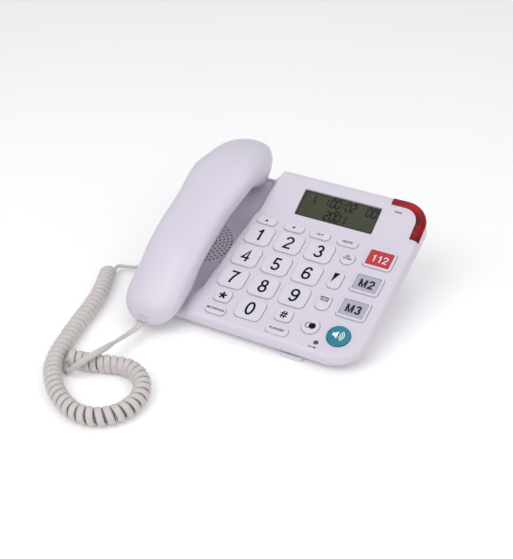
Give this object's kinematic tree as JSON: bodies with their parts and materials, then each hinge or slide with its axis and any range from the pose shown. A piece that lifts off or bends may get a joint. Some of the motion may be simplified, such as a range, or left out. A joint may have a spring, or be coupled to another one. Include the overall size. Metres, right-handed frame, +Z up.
{
  "type": "corded desk telephone",
  "caption": "Corded desk telephone with large keys, a tilted display, a red corner lamp, and a handset on a curled cord lying in a cradle.",
  "frame": {"origin": "on the surface the feet stand on, under the middle of the object's box without its cord", "axes": "+Z up, +Y towards the back (the display), +X to the user's right; the handset lies along Y at -X"},
  "size_m": [0.2349, 0.2966, 0.0876],
  "materials": {
    "shell": "satin moulded plastic",
    "handset": "satin moulded plastic",
    "keys": "moulded plastic with printed symbols",
    "speaker_button": "coloured moulded plastic with a printed symbol",
    "lamp_lens": "glossy tinted clear plastic",
    "led": "glossy",
    "display": "flat clear window over a grey-green display",
    "dark_plastic": "plain",
    "capsule_metal": "plain",
    "membrane": "plain",
    "board": "coated board",
    "alert_label": "printed paper",
    "plain_label": "printed paper",
    "feet": "soft pale rubber",
    "cord": "satin sheath",
    "clear_cover": "clear moulded plastic",
    "clear_plug": "clear moulded plastic"
  },
  "bodies": {
    "base": {"base_upper_shell": "shell", "base_lower_shell": "shell", "desk_stand": "shell", "ring_lamp_lens": "lamp_lens", "display_window": "display", "display_module": "dark_plastic", "keypad_membrane": "membrane", "main_board": "board", "status_led": "led", "loudspeaker": "dark_plastic", "hook_switch": "dark_plastic", "foot_front_left": "feet", "foot_front_right": "feet", "foot_rear_left": "feet", "foot_rear_right": "feet", "base_handset_jack": "dark_plastic", "line_jack": "dark_plastic", "cord_plug_base": "clear_plug", "cord_tail_base": "cord", "cord_curl": "cord", "cord_tail_handset": "cord"},
    "handset": {"handset_outer_shell": "handset", "handset_inner_shell": "handset", "receiver_capsule": "dark_plastic", "microphone_capsule": "capsule_metal", "handset_jack": "dark_plastic", "cord_plug_handset": "clear_plug"},
    "hook": {"hook_plunger": "keys"},
    "key_0": {"key_0": "keys"},
    "key_1": {"key_1": "keys"},
    "key_2": {"key_2": "keys"},
    "key_3": {"key_3": "keys"},
    "key_4": {"key_4": "keys"},
    "key_5": {"key_5": "keys"},
    "key_6": {"key_6": "keys"},
    "key_7": {"key_7": "keys"},
    "key_8": {"key_8": "keys"},
    "key_9": {"key_9": "keys"},
    "key_star": {"key_star": "keys"},
    "key_hash": {"key_hash": "keys"},
    "key_up": {"key_up": "keys"},
    "key_down": {"key_down": "keys"},
    "key_out": {"key_out": "keys"},
    "key_delete": {"key_delete": "keys"},
    "key_store": {"key_store": "keys"},
    "key_volume": {"key_volume": "keys"},
    "key_redial": {"key_redial": "keys"},
    "key_swap": {"key_swap": "keys"},
    "key_hold": {"key_hold": "keys"},
    "key_flash": {"key_flash": "keys"},
    "speaker_button": {"speaker_button": "speaker_button"},
    "memory_key_1": {"memory_key_1": "keys", "memory_label_1": "alert_label", "memory_cover_1": "clear_cover"},
    "memory_key_2": {"memory_key_2": "keys", "memory_label_2": "plain_label", "memory_cover_2": "clear_cover"},
    "memory_key_3": {"memory_key_3": "keys", "memory_label_3": "plain_label", "memory_cover_3": "clear_cover"}
  },
  "joints": [
    {"name": "handset_lift", "type": "slide", "parent": "base", "child": "handset", "axis": [0, 0, 1], "range_m": [0, 0.12]},
    {"name": "hook_rise", "type": "slide", "parent": "base", "child": "hook", "axis": [0, -0.3206, 0.9472], "range_m": [0, 0.004]},
    {"name": "key_0_press", "type": "slide", "parent": "base", "child": "key_0", "axis": [0, 0.3206, -0.9472], "range_m": [0, 0.0013], "stiffness_N_per_m": 300},
    {"name": "key_1_press", "type": "slide", "parent": "base", "child": "key_1", "axis": [0, 0.3206, -0.9472], "range_m": [0, 0.0013], "stiffness_N_per_m": 300},
    {"name": "key_2_press", "type": "slide", "parent": "base", "child": "key_2", "axis": [0, 0.3206, -0.9472], "range_m": [0, 0.0013], "stiffness_N_per_m": 300},
    {"name": "key_3_press", "type": "slide", "parent": "base", "child": "key_3", "axis": [0, 0.3206, -0.9472], "range_m": [0, 0.0013], "stiffness_N_per_m": 300},
    {"name": "key_4_press", "type": "slide", "parent": "base", "child": "key_4", "axis": [0, 0.3206, -0.9472], "range_m": [0, 0.0013], "stiffness_N_per_m": 300},
    {"name": "key_5_press", "type": "slide", "parent": "base", "child": "key_5", "axis": [0, 0.3206, -0.9472], "range_m": [0, 0.0013], "stiffness_N_per_m": 300},
    {"name": "key_6_press", "type": "slide", "parent": "base", "child": "key_6", "axis": [0, 0.3206, -0.9472], "range_m": [0, 0.0013], "stiffness_N_per_m": 300},
    {"name": "key_7_press", "type": "slide", "parent": "base", "child": "key_7", "axis": [0, 0.3206, -0.9472], "range_m": [0, 0.0013], "stiffness_N_per_m": 300},
    {"name": "key_8_press", "type": "slide", "parent": "base", "child": "key_8", "axis": [0, 0.3206, -0.9472], "range_m": [0, 0.0013], "stiffness_N_per_m": 300},
    {"name": "key_9_press", "type": "slide", "parent": "base", "child": "key_9", "axis": [0, 0.3206, -0.9472], "range_m": [0, 0.0013], "stiffness_N_per_m": 300},
    {"name": "key_star_press", "type": "slide", "parent": "base", "child": "key_star", "axis": [0, 0.3206, -0.9472], "range_m": [0, 0.0013], "stiffness_N_per_m": 300},
    {"name": "key_hash_press", "type": "slide", "parent": "base", "child": "key_hash", "axis": [0, 0.3206, -0.9472], "range_m": [0, 0.0013], "stiffness_N_per_m": 300},
    {"name": "key_up_press", "type": "slide", "parent": "base", "child": "key_up", "axis": [0, 0.3206, -0.9472], "range_m": [0, 0.0013], "stiffness_N_per_m": 300},
    {"name": "key_down_press", "type": "slide", "parent": "base", "child": "key_down", "axis": [0, 0.3206, -0.9472], "range_m": [0, 0.0013], "stiffness_N_per_m": 300},
    {"name": "key_out_press", "type": "slide", "parent": "base", "child": "key_out", "axis": [0, 0.3206, -0.9472], "range_m": [0, 0.0013], "stiffness_N_per_m": 300},
    {"name": "key_delete_press", "type": "slide", "parent": "base", "child": "key_delete", "axis": [0, 0.3206, -0.9472], "range_m": [0, 0.0013], "stiffness_N_per_m": 300},
    {"name": "key_store_press", "type": "slide", "parent": "base", "child": "key_store", "axis": [0, 0.3206, -0.9472], "range_m": [0, 0.0013], "stiffness_N_per_m": 300},
    {"name": "key_volume_press", "type": "slide", "parent": "base", "child": "key_volume", "axis": [0, 0.3206, -0.9472], "range_m": [0, 0.0013], "stiffness_N_per_m": 300},
    {"name": "key_redial_press", "type": "slide", "parent": "base", "child": "key_redial", "axis": [0, 0.3206, -0.9472], "range_m": [0, 0.0013], "stiffness_N_per_m": 300},
    {"name": "key_swap_press", "type": "slide", "parent": "base", "child": "key_swap", "axis": [0, 0.3206, -0.9472], "range_m": [0, 0.0013], "stiffness_N_per_m": 300},
    {"name": "key_hold_press", "type": "slide", "parent": "base", "child": "key_hold", "axis": [0, 0.3206, -0.9472], "range_m": [0, 0.0013], "stiffness_N_per_m": 300},
    {"name": "key_flash_press", "type": "slide", "parent": "base", "child": "key_flash", "axis": [0, 0.3206, -0.9472], "range_m": [0, 0.0013], "stiffness_N_per_m": 300},
    {"name": "speaker_button_press", "type": "slide", "parent": "base", "child": "speaker_button", "axis": [0, 0.3206, -0.9472], "range_m": [0, 0.0013], "stiffness_N_per_m": 300},
    {"name": "memory_key_1_press", "type": "slide", "parent": "base", "child": "memory_key_1", "axis": [0, 0.3206, -0.9472], "range_m": [0, 0.0013], "stiffness_N_per_m": 300},
    {"name": "memory_key_2_press", "type": "slide", "parent": "base", "child": "memory_key_2", "axis": [0, 0.3206, -0.9472], "range_m": [0, 0.0013], "stiffness_N_per_m": 300},
    {"name": "memory_key_3_press", "type": "slide", "parent": "base", "child": "memory_key_3", "axis": [0, 0.3206, -0.9472], "range_m": [0, 0.0013], "stiffness_N_per_m": 300}
  ],
  "couplings": [
    {"joint": "hook_rise", "follows": "handset_lift", "ratio": 0.0333}
  ]
}
